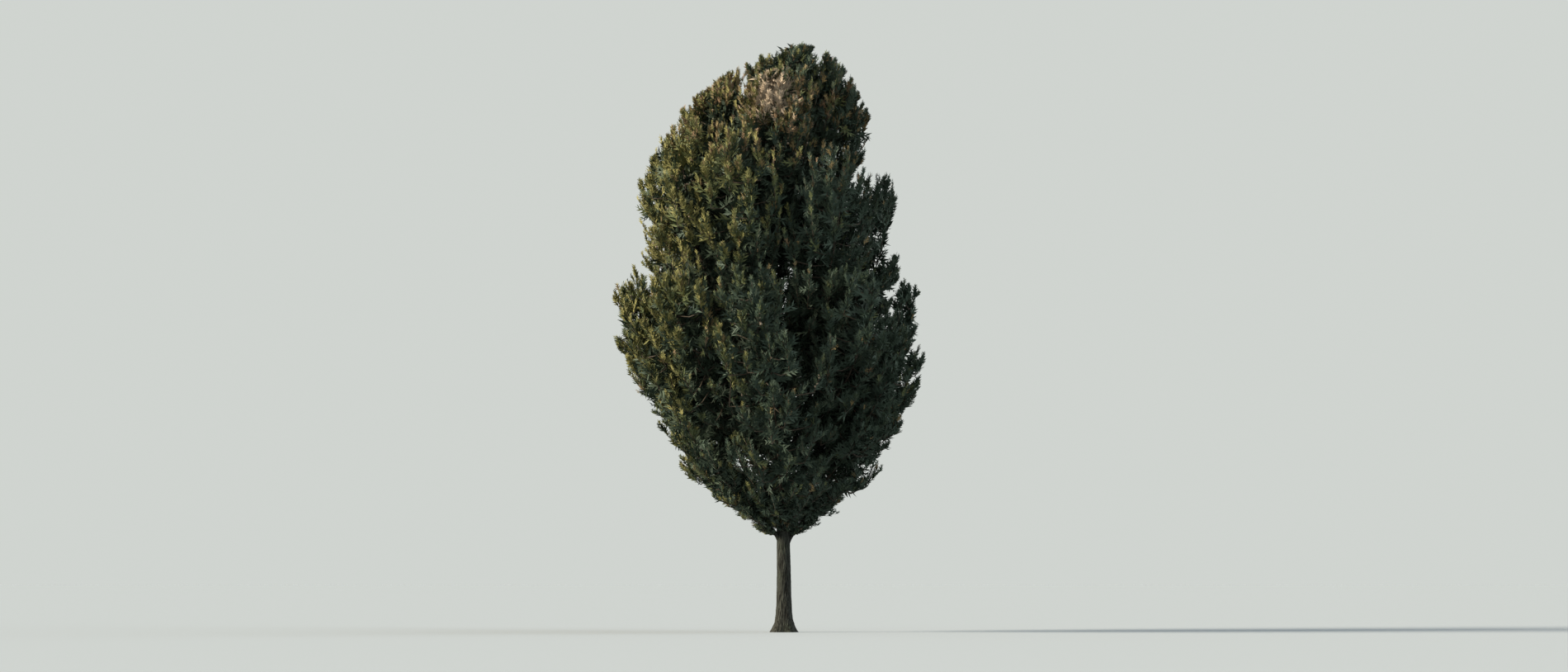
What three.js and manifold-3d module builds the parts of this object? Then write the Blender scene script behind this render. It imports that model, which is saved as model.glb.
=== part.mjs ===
// A cypress tree that stands alone in open ground: one trunk, steep boughs, and a dense egg-shaped
// crown of upswept plumes. Millimetres, +Z up. The origin is the middle of the flat cut under the
// trunk, and the front of the tree faces -Y.
import * as THREE from "three";
import { mergeVertices } from "three/addons/utils/BufferGeometryUtils.js";
import Module from "manifold-3d";

const wasm = await Module();
wasm.setup();

// The crown is an egg set round the trunk's own line, drawn in at a waist above the middle tips
const TREE_HEIGHT = 11000;
const CROWN_FOOT = 1750;
const CROWN_WIDEST_LEVEL = 5900;
const CROWN_RADIUS = 2900;
const CROWN_FOOT_POWER = 0.64;
const CROWN_TOP_POWER = 0.6;
const CROWN_WAIST_LEVEL = 7150;
const CROWN_WAIST_DEPTH = 330;
const CROWN_WAIST_HEIGHT = 650;

// The trunk sweeps to the left and back, and its tip comes home to the right
const TRUNK_HEIGHT = 9150;
const SWEEP_LEFT = 450;
const SWEEP_BACK = 110;
const TIP_RETURN = 350;
const TRUNK_RADIUS = 142;
const TRUNK_TIP_RADIUS = 26;
const FLARE_RADIUS = 105;
const FLARE_HEIGHT = 170;
const BUTTRESSES = 5;
const BUTTRESS_DEPTH = 0.3;
const TRUNK_SIDES = 14;
const TRUNK_RINGS = 13;
const TRUNK_RING_CROWDING = 1.7;

// The plumes stand in tiers, each counted round from turn. fork is where the lowest bough leaves
// the trunk, and spread how far up the trunk the tier's others follow it. foot and tip are the
// plume's own ends, lift is how much higher the tips stand on the left, and reach, bendOut and
// bendUp place the tip and the bend between them. girth is the plume's widest radius.
const TIERS = [
  {
    name: "low", count: 6, turn: 30, fork: 1420, spread: 330, foot: 1930, footOut: 300, tip: 5350, lift: 0,
    reach: 0.97, bendOut: 0.58, bendUp: 0.32, girth: 1150, boughRadius: 50, sprays: 13,
  },
  {
    name: "middle", count: 8, turn: 0, fork: 2350, spread: 800, foot: 3000, footOut: 400, tip: 6350, lift: 0,
    reach: 1, bendOut: 0.76, bendUp: 0.25, girth: 1150, boughRadius: 50, sprays: 13,
  },
  {
    name: "shoulder", count: 7, turn: 0, fork: 4000, spread: 700, foot: 4700, footOut: 340, tip: 8750,
    lift: 600, reach: 0.97, bendOut: 0.82, bendUp: 0.25, girth: 1250, boughRadius: 40, sprays: 13,
  },
  {
    name: "upper", count: 4, turn: -90, fork: 6100, spread: 400, foot: 6700, footOut: 260, tip: 10400,
    lift: 0, reach: 0.98, bendOut: 0.8, bendUp: 0.35, girth: 1050, boughRadius: 28, sprays: 13,
  },
];
const TOP_PLUME = { girth: 820, sprays: 13 };
const SPIRAL = 0.382;
const TURN_JITTER = 7;
const HEIGHT_JITTER = 150;

// Boughs taper to their plume's foot
const BOUGH_TAPER = 0.62;
const BOUGH_SIDES = 5;
const BOUGH_RINGS = 3;
const BOUGH_RISE = 0.5;

// A plume swells to its girth and closes to a point. Its fluted core fills the plume's own space
// up to the depth that the sprays stand out of it.
const GIRTH_PEAK = 0.45;
const GIRTH_FOOT_POWER = 0.6;
const GIRTH_TIP_POWER = 0.8;
const SPRAY_DEPTH = 300;
const SPRAY_DEPTH_AT_FOOT = 90;
const SPRAY_DEPTH_RAMP = 1700;
const CORE_CLEFT = 35;
const CORE_LIMB_GAP = 70;
const CORE_SIDES = 8;
const CORE_RINGS = 6;
const CORE_FLUTE = 0.1;
const CORE_FOOT = 0.04;
const CORE_TOP = 0.94;
const CORE_STEP = 30;
const CORE_LEAST = 30;

// The stem runs up inside the core, and each twig on it carries one toothed spray
const STEM_SIDES = 5;
const STEM_RINGS = 3;
const STEM_END = 0.88;
const STEM_TAPER = 0.2;
const TWIG_SIDES = 3;
const TWIG_RADIUS = 14;
const TWIG_TIP_RADIUS = 6;
const TWIG_FIRST = 0.08;
const TWIG_LAST = 0.86;
const TWIG_ARC = 250;
const TWIG_ARC_JITTER = 10;
const GOLDEN_SHARE = 0.618034;

// A spray is a flat blade with teeth that alternate up its edges
const SPRAY_LENGTH = 980;
const SPRAY_LENGTH_SPREAD = 0.25;
const SPRAY_WIDTH = 0.46;
const SPRAY_THICKNESS = 0.075;
const SPRAY_TEETH = 2;
const TOOTH_UP = [0.34, 0.68];
const TOOTH_HALF = [0.5, 0.36];
const NOTCH_RISE = 0.1;
const NOTCH_HALF = 0.4;
const SPRAY_LEAN = 34;
const SPRAY_LEAN_SPREAD = 7;
const SPRAY_ROLL_SPREAD = 32;
const SPRAY_SINK = 0.76;
const SPRAY_STEP_UP = 0.1;
const SPRAY_SHORTEN = 0.82;
const SPRAY_TRIES = 6;
const SPRAY_CANDIDATES = 3;
const LEADER_LENGTH = 640;

// Clearances
const SPACE_GAP = 14;
const LIMB_GAP = 20;
const SEAT_GAP = 0.3;
const SLIVER = 0.05;
const CHAIN_PIECES = 12;

// The repeatable chance that lays out the plumes and their sprays
const LAYOUT_SEED = 4127;
const SPRAY_SEED = 4128;
const CHANCE_STEP = 16807;
const CHANCE_SPAN = 2147483647;

const bark = new THREE.MeshStandardMaterial({ color: 0x4a4038, roughness: 0.95, metalness: 0 });
const foliage = new THREE.MeshStandardMaterial({ color: 0x243020, roughness: 0.85, metalness: 0 });

const UP = new THREE.Vector3(0, 0, 1);
const { degToRad, lerp, clamp } = THREE.MathUtils;

// Gives a number from 0 to 1 at each call
function seededChance(seed) {
  let state = seed;
  return () => {
    state = (state * CHANCE_STEP) % CHANCE_SPAN;
    return state / CHANCE_SPAN;
  };
}

// A number from -1 to 1
function eitherWay(chance) {
  return 2 * chance() - 1;
}

// The trunk's line, which the crown is set round too. The sweep is greatest three quarters of the
// way up.
function centreLine(height) {
  const share = height / TREE_HEIGHT;
  const sweep = (256 / 27) * share ** 3 * (1 - share);
  const x = TIP_RETURN * share ** 6 - SWEEP_LEFT * sweep;
  return new THREE.Vector3(x, SWEEP_BACK * sweep, height);
}

function crownRadius(height) {
  const below = height < CROWN_WIDEST_LEVEL;
  const reach = below ? CROWN_WIDEST_LEVEL - CROWN_FOOT : TREE_HEIGHT - CROWN_WIDEST_LEVEL;
  const share = Math.min(1, Math.abs(height - CROWN_WIDEST_LEVEL) / reach);
  const egg = CROWN_RADIUS * (1 - share ** 2) ** (below ? CROWN_FOOT_POWER : CROWN_TOP_POWER);
  const fromWaist = (height - CROWN_WAIST_LEVEL) / CROWN_WAIST_HEIGHT;
  return Math.max(0, egg - CROWN_WAIST_DEPTH * Math.exp(-(fromWaist ** 2)));
}

function distanceFromCentreLine(point) {
  const centre = centreLine(point.z);
  return Math.hypot(point.x - centre.x, point.y - centre.y);
}

// The point at a height that lies so far out from the centre line, at a turn round it
function outFrom(turn, out, height) {
  const point = centreLine(height);
  point.x += out * Math.cos(turn);
  point.y += out * Math.sin(turn);
  return point;
}

function asSolid(geometry) {
  geometry.deleteAttribute("normal");
  geometry.deleteAttribute("uv");
  const welded = mergeVertices(geometry, 1e-3);
  return new wasm.Manifold(new wasm.Mesh({
    numProp: 3,
    vertProperties: Float32Array.from(welded.attributes.position.array),
    triVerts: Uint32Array.from(welded.index.array),
  }));
}

function asMesh(solid, name, material) {
  const { vertProperties, triVerts } = solid.getMesh();
  const geometry = new THREE.BufferGeometry();
  geometry.setAttribute("position", new THREE.BufferAttribute(Float32Array.from(vertProperties), 3));
  geometry.setIndex(new THREE.BufferAttribute(Uint32Array.from(triVerts), 1));
  const mesh = new THREE.Mesh(geometry, material);
  mesh.name = name;
  return mesh;
}

// Moves each corner of a geometry by a rule
function reshape(geometry, rule) {
  const corners = geometry.attributes.position;
  const corner = new THREE.Vector3();
  for (let i = 0; i < corners.count; i++) {
    const moved = rule(corner.fromBufferAttribute(corners, i));
    corners.setXYZ(i, moved.x, moved.y, moved.z);
  }
  return geometry;
}

// A line's direction at a share of it, the direction square to that which is nearest to side, and
// the direction square to both
function squareTo(line, share, side) {
  const along = line.getTangent(share);
  const level = side.clone().addScaledVector(along, -side.dot(along)).normalize();
  return { along, side: level, out: level.clone().cross(along) };
}

// A closed round body on a line: radiusAt gives its radius at a share of the line and an angle
// round it, and shareAt spaces its rings
function bodyOn(line, side, sides, rings, radiusAt, shareAt = (share) => share) {
  return asSolid(reshape(new THREE.CylinderGeometry(1, 1, 1, sides, rings), (corner) => {
    const share = shareAt(corner.y + 0.5);
    const frame = squareTo(line, share, side);
    const radius = radiusAt(share, Math.atan2(corner.x, corner.z));
    return line.getPoint(share)
      .addScaledVector(frame.side, corner.x * radius)
      .addScaledVector(frame.out, corner.z * radius);
  }));
}

// The trunk's line as a curve from the cut to the tip, square to the ground at the cut
class TrunkLine extends THREE.Curve {
  getPoint(share) {
    return centreLine(share * TRUNK_HEIGHT);
  }

  getTangent(share) {
    const height = share * TRUNK_HEIGHT;
    return share === 0 ? UP.clone() : centreLine(height + 1).sub(centreLine(height - 1)).normalize();
  }
}

const trunkLine = new TrunkLine();

function trunkRadius(height, angle) {
  const taper = lerp(TRUNK_RADIUS, TRUNK_TIP_RADIUS, height / TRUNK_HEIGHT);
  const flare = FLARE_RADIUS * Math.exp(-height / FLARE_HEIGHT);
  return taper + flare * (1 + BUTTRESS_DEPTH * Math.cos(BUTTRESSES * angle));
}

// The trunk, or the room it takes up with an allowance all round it
function trunkSolid(allowance) {
  const radiusAt = (share, angle) => trunkRadius(share * TRUNK_HEIGHT, angle) + allowance;
  const crowd = (share) => share ** TRUNK_RING_CROWDING;
  return bodyOn(trunkLine, new THREE.Vector3(1, 0, 0), TRUNK_SIDES, TRUNK_RINGS, radiusAt, crowd);
}

// Lays out one plume and its bough as lines in an upright plane through the trunk
function layOutPlume(tier, index, chance) {
  const turn = degToRad(tier.turn + (360 * index) / tier.count + TURN_JITTER * eitherWay(chance));
  const tip = tier.tip - tier.lift * Math.cos(turn) + HEIGHT_JITTER * eitherWay(chance);
  const tipOut = tier.reach * crownRadius(tip);
  const climb = tier.spread * ((index * SPIRAL) % 1);
  const foot = outFrom(turn, tier.footOut, tier.foot + climb);
  const bend = outFrom(turn, tier.bendOut * tipOut, lerp(foot.z, tip, tier.bendUp));
  const line = new THREE.QuadraticBezierCurve3(foot, bend, outFrom(turn, tipOut, tip));
  const fork = centreLine(tier.fork + climb);
  const rise = foot.clone().addScaledVector(line.getTangent(0), -BOUGH_RISE * foot.distanceTo(fork));
  return {
    name: `${tier.name}_${index + 1}`,
    line,
    boughLine: new THREE.QuadraticBezierCurve3(fork, rise, foot),
    side: new THREE.Vector3(-Math.sin(turn), Math.cos(turn), 0),
    boughRadius: tier.boughRadius,
    footRadius: tier.boughRadius * BOUGH_TAPER,
    girth: tier.girth,
    sprays: tier.sprays,
  };
}

// The top plume goes straight on from the trunk's tip
function layOutTopPlume() {
  const foot = centreLine(TRUNK_HEIGHT);
  const bend = foot.clone().addScaledVector(trunkLine.getTangent(1), (TREE_HEIGHT - TRUNK_HEIGHT) / 2);
  return {
    name: "top",
    line: new THREE.QuadraticBezierCurve3(foot, bend, centreLine(TREE_HEIGHT)),
    boughLine: null,
    side: new THREE.Vector3(0, 1, 0),
    footRadius: TRUNK_TIP_RADIUS,
    girth: TOP_PLUME.girth,
    sprays: TOP_PLUME.sprays,
  };
}

function layOutPlumes() {
  const chance = seededChance(LAYOUT_SEED);
  const laidOut = [];
  for (const tier of TIERS) {
    for (let index = 0; index < tier.count; index++) {
      laidOut.push(layOutPlume(tier, index, chance));
    }
  }
  laidOut.push(layOutTopPlume());
  for (const plume of laidOut) {
    plume.chain = plume.line.getPoints(CHAIN_PIECES);
    plume.boughChain = plume.boughLine ? plume.boughLine.getPoints(CHAIN_PIECES) : [];
  }
  return laidOut;
}

const plumes = layOutPlumes();

// Distance from a point to a chain of short straight pieces
function distanceToChain(point, chain) {
  const piece = new THREE.Line3();
  const nearest = new THREE.Vector3();
  let least = Infinity;
  for (let i = 1; i < chain.length; i++) {
    piece.set(chain[i - 1], chain[i]);
    piece.closestPointToPoint(point, true, nearest);
    least = Math.min(least, nearest.distanceTo(point));
  }
  return least;
}

function clearOfLimbs(point, gap) {
  const trunkClear = point.z > TRUNK_HEIGHT
    || distanceFromCentreLine(point) > trunkRadius(point.z, 0) + gap;
  return trunkClear && plumes.every((plume) => (
    !plume.boughLine || distanceToChain(point, plume.boughChain) > plume.boughRadius + gap
  ));
}

// How deep a point lies in a plume's own space, which is all that is nearer to its line than to
// any other plume's
function depthInSpace(point, plume) {
  const others = plumes.filter((other) => other !== plume);
  const nearest = Math.min(...others.map((other) => distanceToChain(point, other.chain)));
  return (nearest - distanceToChain(point, plume.chain)) / 2;
}

function plumeGirth(plume, share) {
  const fromPeak = share < GIRTH_PEAK
    ? (GIRTH_PEAK - share) / GIRTH_PEAK
    : (share - GIRTH_PEAK) / (1 - GIRTH_PEAK);
  return plume.girth * (1 - fromPeak ** 2) ** (share < GIRTH_PEAK ? GIRTH_FOOT_POWER : GIRTH_TIP_POWER);
}

// The sprays are shorter at the crown's foot
function sprayDepth(height) {
  const share = clamp((height - CROWN_FOOT) / SPRAY_DEPTH_RAMP, 0, 1);
  return lerp(SPRAY_DEPTH_AT_FOOT, SPRAY_DEPTH, share);
}

function directionRound(frame, angle) {
  return frame.side.clone().multiplyScalar(Math.sin(angle)).addScaledVector(frame.out, Math.cos(angle));
}

// Steps out from the line until the core would leave its space
function coreRadius(plume, share, angle) {
  const outward = directionRound(squareTo(plume.line, share, plume.side), angle);
  const centre = plume.line.getPoint(share);
  const limit = plumeGirth(plume, share);
  let radius = CORE_LEAST;
  while (radius + CORE_STEP < limit) {
    const point = centre.clone().addScaledVector(outward, radius + CORE_STEP);
    const inCrown = distanceFromCentreLine(point) < crownRadius(point.z) - sprayDepth(point.z);
    if (!inCrown || depthInSpace(point, plume) < CORE_CLEFT || !clearOfLimbs(point, CORE_LIMB_GAP)) {
      break;
    }
    radius += CORE_STEP;
  }
  return radius;
}

function coreSolid(plume) {
  const flute = (angle) => 1 - CORE_FLUTE * Math.abs(Math.sin((CORE_SIDES / 4) * angle));
  const radiusAt = (share, angle) => flute(angle) * coreRadius(plume, share, angle);
  const between = (share) => lerp(CORE_FOOT, CORE_TOP, share);
  return bodyOn(plume.line, plume.side, CORE_SIDES, CORE_RINGS, radiusAt, between);
}

// The stem starts a seat's gap past the tip of the limb that carries it
function stemSolid(plume) {
  const radiusAt = (share) => plume.footRadius * lerp(1, STEM_TAPER, share);
  const start = SEAT_GAP / (2 * plume.line.v0.distanceTo(plume.line.v1));
  const between = (share) => lerp(start, STEM_END, share);
  return bodyOn(plume.line, plume.side, STEM_SIDES, STEM_RINGS, radiusAt, between);
}

function boughSolid(plume, trunkRoom) {
  const radiusAt = (share) => lerp(plume.boughRadius, plume.footRadius, share);
  const limb = bodyOn(plume.boughLine, plume.side, BOUGH_SIDES, BOUGH_RINGS, radiusAt);
  return limb.subtract(trunkRoom);
}

// A spray's outline in shares of its width and length: up the left edge by tooth and notch, over
// the tip, down the right edge and back to the root
function sprayOutline() {
  const left = [];
  const right = [];
  for (let tooth = 0; tooth < SPRAY_TEETH; tooth++) {
    const share = tooth / (SPRAY_TEETH - 1);
    const up = lerp(...TOOTH_UP, share);
    const half = lerp(...TOOTH_HALF, share) * (tooth % 2 ? 1 : -1);
    const edge = tooth % 2 ? right : left;
    edge.push(new THREE.Vector2(half, up), new THREE.Vector2(NOTCH_HALF * half, up + NOTCH_RISE));
  }
  return [...left, new THREE.Vector2(0, 1), ...right.reverse(), new THREE.Vector2(0, 0)];
}

const OUTLINE = sprayOutline();

function sprayPoint(spray, point) {
  return spray.root.clone()
    .addScaledVector(spray.across, point.x * SPRAY_WIDTH * spray.length)
    .addScaledVector(spray.along, point.y * spray.length);
}

// The blade is a globe of two rows: its poles become the ridges of the two faces, half way up the
// blade, and its equator becomes the outline
function spraySolid(spray) {
  const face = spray.along.clone().cross(spray.across);
  const middle = sprayPoint(spray, new THREE.Vector2(0, 0.5));
  const step = (2 * Math.PI) / OUTLINE.length;
  return asSolid(reshape(new THREE.SphereGeometry(1, OUTLINE.length, 2), (corner) => {
    if (Math.abs(corner.y) > 0.5) {
      return middle.clone().addScaledVector(face, (corner.y * SPRAY_THICKNESS * spray.length) / 2);
    }
    const turn = Math.atan2(corner.z, -corner.x) + 2 * Math.PI;
    return sprayPoint(spray, OUTLINE[Math.round(turn / step) % OUTLINE.length]);
  }));
}

function staysInSpace(spray, plume) {
  return OUTLINE.map((point) => sprayPoint(spray, point)).every((corner) => (
    distanceFromCentreLine(corner) < crownRadius(corner.z)
    && depthInSpace(corner, plume) > SPACE_GAP
    && clearOfLimbs(corner, LIMB_GAP)
  ));
}

// A point well inside the core below its skin, with the direction outward there
function underSkin(plume, share, angle) {
  const outward = directionRound(squareTo(plume.line, share, plume.side), angle);
  const point = plume.line.getPoint(share)
    .addScaledVector(outward, SPRAY_SINK * coreRadius(plume, share, angle));
  return { point, outward };
}

// Chooses a spray by the seeded rule: its share of the stem, its turn round it, its lean off the
// core and its roll
function chooseSpray(plume, index, chance) {
  const share = lerp(TWIG_FIRST, TWIG_LAST, chance());
  const round = TWIG_ARC * (((index * GOLDEN_SHARE) % 1) - 0.5);
  const angle = degToRad(round + TWIG_ARC_JITTER * eitherWay(chance));
  const { point: root, outward } = underSkin(plume, share, angle);
  const upward = underSkin(plume, share + SPRAY_STEP_UP, angle).point.sub(root).normalize();
  const lean = degToRad(SPRAY_LEAN + SPRAY_LEAN_SPREAD * eitherWay(chance));
  const along = upward.multiplyScalar(Math.cos(lean)).addScaledVector(outward, Math.sin(lean)).normalize();
  const roll = degToRad(SPRAY_ROLL_SPREAD * eitherWay(chance));
  const across = outward.clone().cross(along).normalize().applyAxisAngle(along, roll);
  const length = SPRAY_LENGTH * (1 + SPRAY_LENGTH_SPREAD * eitherWay(chance));
  return { root, along, across, length, stemPoint: plume.line.getPoint(share) };
}

function twigSolid(spray) {
  const line = new THREE.LineCurve3(spray.stemPoint, spray.root);
  const radiusAt = (share) => lerp(TWIG_RADIUS, TWIG_TIP_RADIUS, share);
  return bodyOn(line, spray.across, TWIG_SIDES, 1, radiusAt);
}

// The spray that ends a plume, in line with its stem
function leaderSpray(plume) {
  const along = plume.line.getTangent(1);
  const root = plume.line.getPoint(1).addScaledVector(along, -LEADER_LENGTH);
  return { root, along, across: plume.side, length: LEADER_LENGTH };
}

// Keeps the one outer skin: a hollow that the joining sealed is filled and a loose scrap is dropped
function outerSkin(solid) {
  const skins = solid.simplify(SLIVER).decompose();
  return skins.reduce((largest, skin) => (skin.volume() > largest.volume() ? skin : largest));
}

// Joins stem, core and sprays. A spray that would leave the plume's space is tried shorter, and
// then skipped.
function plumeSolid(plume, chance) {
  const pieces = [stemSolid(plume), coreSolid(plume), spraySolid(leaderSpray(plume))];
  let placed = 0;
  for (let index = 0; placed < plume.sprays && index < SPRAY_CANDIDATES * plume.sprays; index++) {
    const spray = chooseSpray(plume, index, chance);
    let tries = 1;
    while (tries < SPRAY_TRIES && !staysInSpace(spray, plume)) {
      spray.length *= SPRAY_SHORTEN;
      tries += 1;
    }
    if (staysInSpace(spray, plume)) {
      pieces.push(spraySolid(spray), twigSolid(spray));
      placed += 1;
    }
  }
  return outerSkin(wasm.Manifold.union(pieces));
}

function buildTree() {
  const tree = new THREE.Group();
  const boughs = new THREE.Group();
  const crown = new THREE.Group();
  const trunkRoom = trunkSolid(SEAT_GAP);
  const chance = seededChance(SPRAY_SEED);
  for (const plume of plumes) {
    if (plume.boughLine) {
      boughs.add(asMesh(boughSolid(plume, trunkRoom), `bough_${plume.name}`, bark));
    }
    crown.add(asMesh(plumeSolid(plume, chance), `plume_${plume.name}`, foliage));
  }
  tree.add(asMesh(trunkSolid(0), "trunk", bark), boughs, crown);
  return tree;
}

export default buildTree();
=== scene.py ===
import math

import bmesh
import bpy
import numpy as np
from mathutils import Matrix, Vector, noise


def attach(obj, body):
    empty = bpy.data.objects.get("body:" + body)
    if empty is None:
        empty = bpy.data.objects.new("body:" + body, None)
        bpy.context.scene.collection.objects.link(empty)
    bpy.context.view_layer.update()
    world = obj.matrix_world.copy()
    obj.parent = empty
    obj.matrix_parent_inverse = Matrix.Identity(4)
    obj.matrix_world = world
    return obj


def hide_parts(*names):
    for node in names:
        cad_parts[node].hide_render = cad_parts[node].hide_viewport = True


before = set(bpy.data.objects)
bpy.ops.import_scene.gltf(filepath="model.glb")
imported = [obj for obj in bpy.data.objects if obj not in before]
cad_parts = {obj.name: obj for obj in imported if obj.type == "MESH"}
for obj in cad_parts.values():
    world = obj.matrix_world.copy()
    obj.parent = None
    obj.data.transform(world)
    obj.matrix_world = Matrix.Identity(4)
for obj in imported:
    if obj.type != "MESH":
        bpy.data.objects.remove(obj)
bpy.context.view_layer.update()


# The trunk is one pole that runs up through the whole crown, with a root flare at the ground.
# Cypress bark is thin, grey-brown and fibrous, and splits into long narrow ridges that wind
# a little round the trunk.
TREE_HEIGHT = 11.0
TRUNK_HEIGHT = 9.15
SWEEP_LEFT = 0.45
SWEEP_BACK = 0.11
SWEEP_SCALE = 256 / 27
TIP_RETURN = 0.35
TIP_RETURN_POWER = 6
TRUNK_RADIUS = 0.142
TRUNK_TIP_RADIUS = 0.026
FLARE_RADIUS = 0.105
FLARE_HEIGHT = 0.17
BUTTRESSES = 5
BUTTRESS_DEPTH = 0.3
TRUNK_SIDES = 112
TRUNK_RINGS = 150
TRUNK_RING_CROWDING = 1.9
RIDGES_ROUND = 34
RIDGE_LENGTH = 0.2
RIDGE_HEIGHT = 0.0075
RIDGE_WIND = 0.35
RIDGE_NOISE = (0.9, 2.1, 3, 0.9, 1.8)
RIDGE_NOISE_MIDDLE = 0.8
TRUNK_RIDGE_WIDTH = 0.022
FIBRE_STRETCH = 0.12
FIBRE_NOISE = {"Scale": 1.0, "Detail": 7.0}
FLAKE_NOISE = {"Scale": 4.0, "Detail": 4.0}
PATCH_NOISE = {"Scale": 2.2, "Detail": 3.0}
FIBRE_SHARE = 0.7
FISSURE_EDGE = (0.4, 0.6)
GREENED_EDGE = (0.5, 0.68)
GREENED_MOST = 0.45
BARK_ROUGHNESS = 0.97
RIDGE_POLISH = 0.14
BARK_SPECULAR = 0.12
BARK_BUMP = {"Strength": 0.55, "Distance": 0.004}
BARK_FISSURE = (0.006, 0.006, 0.005, 1)
BARK_RIDGE = (0.016, 0.018, 0.015, 1)
BARK_WEATHERED = (0.034, 0.037, 0.031, 1)
BARK_GREENED = (0.017, 0.026, 0.015, 1)


def centre_line(height):
    """Where the trunk's middle is at a height. The crown is set round the same line.

    The sweep grows to 1 at three quarters of the height, and the tip comes back to the right.
    """
    share = np.asarray(height, float) / TREE_HEIGHT
    sweep = SWEEP_SCALE * share**3 * (1 - share)
    right = TIP_RETURN * share**TIP_RETURN_POWER - SWEEP_LEFT * sweep
    return np.stack([right, SWEEP_BACK * sweep], axis=-1)


def trunk_radius(height, angle=0.0):
    taper = TRUNK_RADIUS + (TRUNK_TIP_RADIUS - TRUNK_RADIUS) * height / TRUNK_HEIGHT
    flare = FLARE_RADIUS * np.exp(-np.asarray(height) / FLARE_HEIGHT)
    return taper + flare * (1 + BUTTRESS_DEPTH * np.cos(BUTTRESSES * angle))


def bark_ridge(angle, height, ridges):
    """Height of the bark's skin, from -1 in a fissure to 1 on a ridge."""
    turn = angle + RIDGE_WIND * height
    across = ridges / (2 * math.pi)
    point = Vector((math.cos(turn) * across, math.sin(turn) * across, height / RIDGE_LENGTH))
    return noise.ridged_multi_fractal(point, *RIDGE_NOISE) / RIDGE_NOISE_MIDDLE - 1


def limb_blank(sides, rings):
    """A round bar one unit long on Z, with its rings cut, to be bent into a limb."""
    blank = bmesh.new()
    bmesh.ops.create_cone(blank, cap_ends=True, segments=sides, radius1=1, radius2=1, depth=1)
    upright = [edge for edge in blank.edges if abs(edge.verts[0].co.z - edge.verts[1].co.z) > 0.5]
    bmesh.ops.subdivide_edges(blank, edges=upright, cuts=rings - 1)
    return blank


def as_piece(name, blank, finishes):
    """Turns a finished bmesh into an object that moves with the tree."""
    mesh = bpy.data.meshes.new(name)
    blank.to_mesh(mesh)
    blank.free()
    for finish in finishes:
        mesh.materials.append(finish)
    piece = bpy.data.objects.new(name, mesh)
    bpy.context.scene.collection.objects.link(piece)
    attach(piece, "root")
    return piece


class Tone:
    """A number that changes over a surface. Arithmetic on it adds the material's own nodes."""

    def __init__(self, finish, socket):
        self.finish = finish
        self.socket = socket

    def worked(self, operation, first, second):
        return self.finish.node("ShaderNodeMath", {"operation": operation}, {0: first, 1: second})

    def __add__(self, other):
        return self.worked("ADD", self, other)

    def __sub__(self, other):
        return self.worked("SUBTRACT", self, other)

    def __rsub__(self, other):
        return self.worked("SUBTRACT", other, self)

    def __mul__(self, other):
        return self.worked("MULTIPLY", self, other)

    __radd__ = __add__
    __rmul__ = __mul__


class Finish:
    """A material on its Principled shader, with nodes added by type, settings and inputs."""

    def __init__(self, name, base, roughness, specular=0.3):
        self.material = bpy.data.materials.new(name)
        self.material.use_nodes = True
        self.shader = self.material.node_tree.nodes["Principled BSDF"]
        self.shader.inputs["Base Color"].default_value = base
        self.shader.inputs["Roughness"].default_value = roughness
        self.shader.inputs["Specular IOR Level"].default_value = specular

    def feed(self, socket, value):
        if isinstance(value, Tone):
            self.material.node_tree.links.new(value.socket, socket)
        else:
            socket.default_value = value

    def node(self, kind, settings, inputs, output=0):
        made = self.material.node_tree.nodes.new(kind)
        for name, value in settings.items():
            setattr(made, name, value)
        for key, value in inputs.items():
            self.feed(made.inputs[key], value)
        return Tone(self, made.outputs[output])

    def mixed(self, share, first, second):
        return self.node("ShaderNodeMix", {"data_type": "RGBA"}, {0: share, 6: first, 7: second}, 2)

    def noise(self, place, values):
        return self.node("ShaderNodeTexNoise", {}, {"Vector": place, **values})

    def stepped(self, value, edge, most=1.0):
        """Rises smoothly from 0 to most where the value crosses an edge."""
        smooth = {"interpolation_type": "SMOOTHSTEP"}
        ends = {"From Min": edge[0], "From Max": edge[1], "To Max": most}
        return self.node("ShaderNodeMapRange", smooth, {"Value": value, **ends})


def bark_finish(name, ridge_width):
    """Fibrous bark: dark in the fissures, weathered on the ridges, greened in patches."""
    finish = Finish(name, BARK_RIDGE, BARK_ROUGHNESS, BARK_SPECULAR)
    place = finish.node("ShaderNodeTexCoord", {}, {}, "Object")
    scale = (1 / ridge_width, 1 / ridge_width, FIBRE_STRETCH / ridge_width)
    stretched = finish.node("ShaderNodeMapping", {}, {"Vector": place, "Scale": scale})
    flakes = finish.noise(stretched, FLAKE_NOISE)
    grain = finish.noise(stretched, FIBRE_NOISE) * FIBRE_SHARE + flakes * (1 - FIBRE_SHARE)
    ridge = finish.stepped(grain, FISSURE_EDGE)
    greened = finish.stepped(finish.noise(place, PATCH_NOISE), GREENED_EDGE, GREENED_MOST)
    weathered = finish.mixed(flakes, BARK_RIDGE, BARK_WEATHERED)
    skin = finish.mixed(greened, weathered, BARK_GREENED)
    finish.feed(finish.shader.inputs["Base Color"], finish.mixed(ridge, BARK_FISSURE, skin))
    finish.feed(finish.shader.inputs["Roughness"], BARK_ROUGHNESS - ridge * RIDGE_POLISH)
    relief = finish.node("ShaderNodeBump", {}, {"Height": grain, **BARK_BUMP})
    finish.feed(finish.shader.inputs["Normal"], relief)
    return finish.material


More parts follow.
